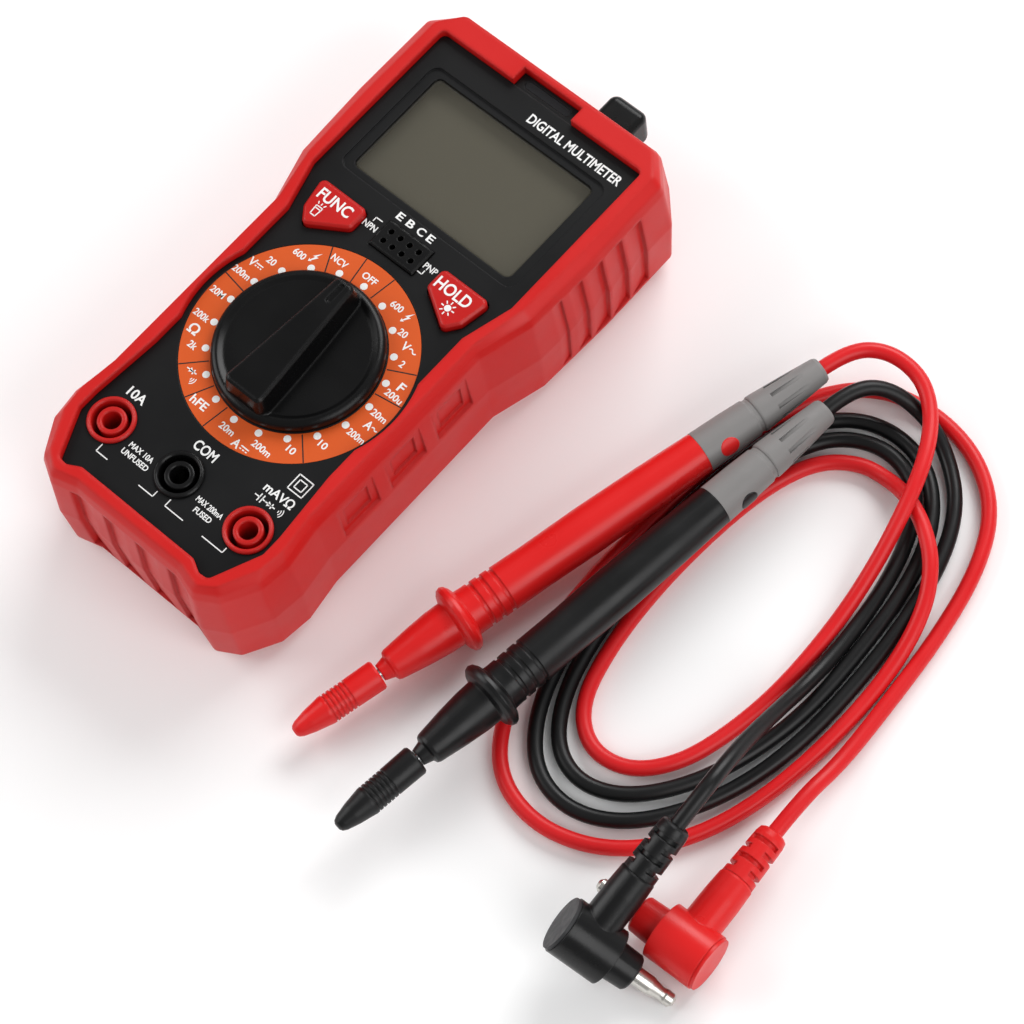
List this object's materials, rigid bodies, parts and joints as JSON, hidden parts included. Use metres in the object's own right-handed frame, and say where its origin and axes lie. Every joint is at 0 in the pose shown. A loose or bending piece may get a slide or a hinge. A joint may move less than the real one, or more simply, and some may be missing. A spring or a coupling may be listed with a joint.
{
  "type": "digital multimeter",
  "caption": "Pocket digital multimeter in a red holster with dark panel, range dial, sockets, tilt stand and two coiled test leads with probes and angled plugs.",
  "frame": {"origin": "centre of the meter's flat rear face, which rests on the table", "axes": "+Z out of the front panel, +Y along the meter's length towards the display, +X to the meter's right where the leads lie"},
  "size_m": [0.1791, 0.1598, 0.0399],
  "materials": {
    "red_rubber": "satin moulded",
    "dark_panel": "fine matt",
    "black_plastic": "satin moulded",
    "black_gloss": "half gloss",
    "orange_print": "matt print",
    "window_clear": "clear polished",
    "lcd_grey": "smooth",
    "white_plastic": "matt",
    "board_green": "lacquered",
    "steel": "satin",
    "nickel": "plated",
    "brass": "turned",
    "cell_wrap": "printed sleeve",
    "red_plastic": "half gloss moulded",
    "grey_plastic": "satin moulded",
    "red_wire": "satin PVC",
    "black_wire": "satin PVC",
    "strip_rubber": "matt"
  },
  "bodies": {
    "housing": {"holster": "red_rubber", "front_case": "dark_panel", "rear_case": "black_plastic", "case_screws": "steel", "battery_door": "black_plastic", "battery_door_screw": "steel", "battery_cells": "cell_wrap", "battery_contacts": "nickel", "circuit_board": "board_green", "measuring_chip": "black_plastic", "buzzer": "black_plastic", "button_switches": "black_plastic", "fuse": "white_plastic", "fuse_clips": "nickel", "shunt_wire": "brass", "lcd_holder": "white_plastic", "zebra_strip": "strip_rubber", "lcd_glass": "lcd_grey", "display_window": "window_clear", "dial_label": "orange_print", "transistor_socket": "black_gloss", "jack_shroud_10a": "red_plastic", "jack_shroud_com": "black_plastic", "jack_shroud_ma": "red_plastic", "jack_contact_10a": "brass", "jack_contact_com": "brass", "jack_contact_ma": "brass", "ncv_head": "black_gloss", "torch_lens": "window_clear", "indicator_lens": "window_clear", "red_probe_needle": "steel", "red_probe_grip": "red_plastic", "red_probe_sleeve": "grey_plastic", "red_probe_boot": "grey_plastic", "red_plug_body": "red_plastic", "red_plug_cap": "red_plastic", "red_plug_pin": "nickel", "red_plug_relief": "red_plastic", "red_cord": "red_wire", "black_probe_needle": "steel", "black_probe_grip": "black_gloss", "black_probe_sleeve": "grey_plastic", "black_probe_boot": "grey_plastic", "black_plug_body": "black_gloss", "black_plug_cap": "black_gloss", "black_plug_pin": "nickel", "black_plug_relief": "black_gloss", "black_cord": "black_wire"},
    "selector": {"selector_knob": "black_plastic", "rotor_carrier": "white_plastic", "rotor_contacts": "brass", "detent_springs": "steel", "detent_balls": "steel"},
    "function_button": {"function_button": "red_plastic"},
    "hold_button": {"hold_button": "red_plastic"},
    "tilt_stand": {"tilt_stand": "black_plastic"},
    "red_probe_cap": {"red_probe_cap": "red_plastic"},
    "black_probe_cap": {"black_probe_cap": "black_gloss"}
  },
  "joints": [
    {"name": "selector_turn", "type": "hinge", "parent": "housing", "child": "selector", "pos_m": [0, -0.0146, 0.0322], "axis": [0, 0, 1], "continuous": true},
    {"name": "function_press", "type": "slide", "parent": "housing", "child": "function_button", "axis": [0, 0, -1], "range_m": [0, 0.001], "stiffness_N_per_m": 1500},
    {"name": "hold_press", "type": "slide", "parent": "housing", "child": "hold_button", "axis": [0, 0, -1], "range_m": [0, 0.001], "stiffness_N_per_m": 1500},
    {"name": "stand_swing", "type": "hinge", "parent": "housing", "child": "tilt_stand", "pos_m": [0, 0.0526, 0.0019], "axis": [1, 0, 0], "range_deg": [0, 65]},
    {"name": "red_cap_pull", "type": "slide", "parent": "housing", "child": "red_probe_cap", "axis": [-0.2403, -0.97, -0.0373], "range_m": [0, 0.025]},
    {"name": "black_cap_pull", "type": "slide", "parent": "housing", "child": "black_probe_cap", "axis": [-0.1255, -0.9921, -0.0045], "range_m": [0, 0.025]}
  ]
}
